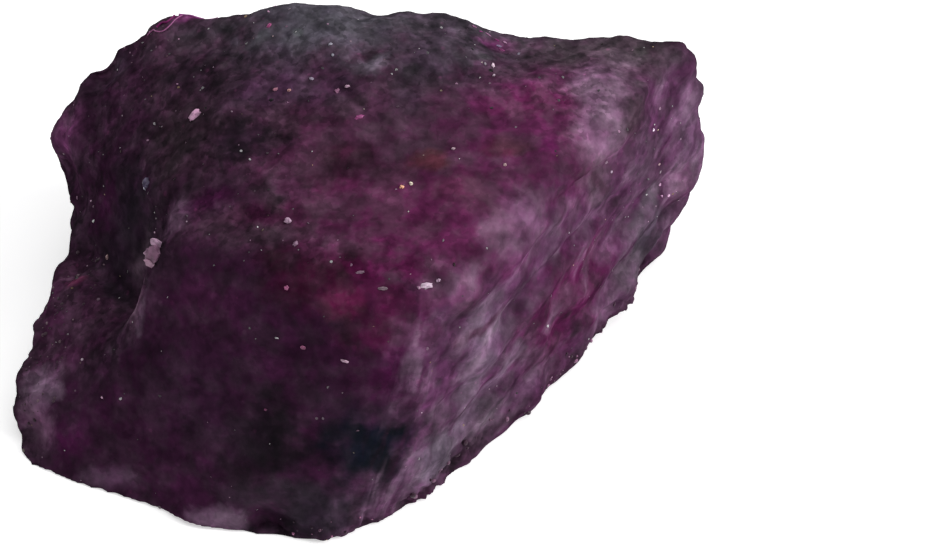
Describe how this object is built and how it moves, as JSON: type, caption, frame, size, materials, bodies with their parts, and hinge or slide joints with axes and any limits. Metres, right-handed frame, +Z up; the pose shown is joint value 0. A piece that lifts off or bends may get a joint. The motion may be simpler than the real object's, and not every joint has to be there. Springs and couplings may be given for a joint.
{
  "type": "raw ruby crystal",
  "caption": "Rough, broken lump of dark plum-coloured foliated ruby that lies on a flat parting face.",
  "frame": {"origin": "on the resting face, under the middle of the lump's bounding box", "axes": "+Z up from the resting face, +X along the lump towards its high right end, +Y to its back"},
  "size_m": [0.025, 0.0182, 0.0107],
  "materials": {
    "raw_ruby": "dark plum ruby with silky lilac sheen on the steep break, dull on the grainy ends, tiny bright flecks"
  },
  "bodies": {
    "root": {"ruby_crystal": "raw_ruby"}
  },
  "joints": []
}
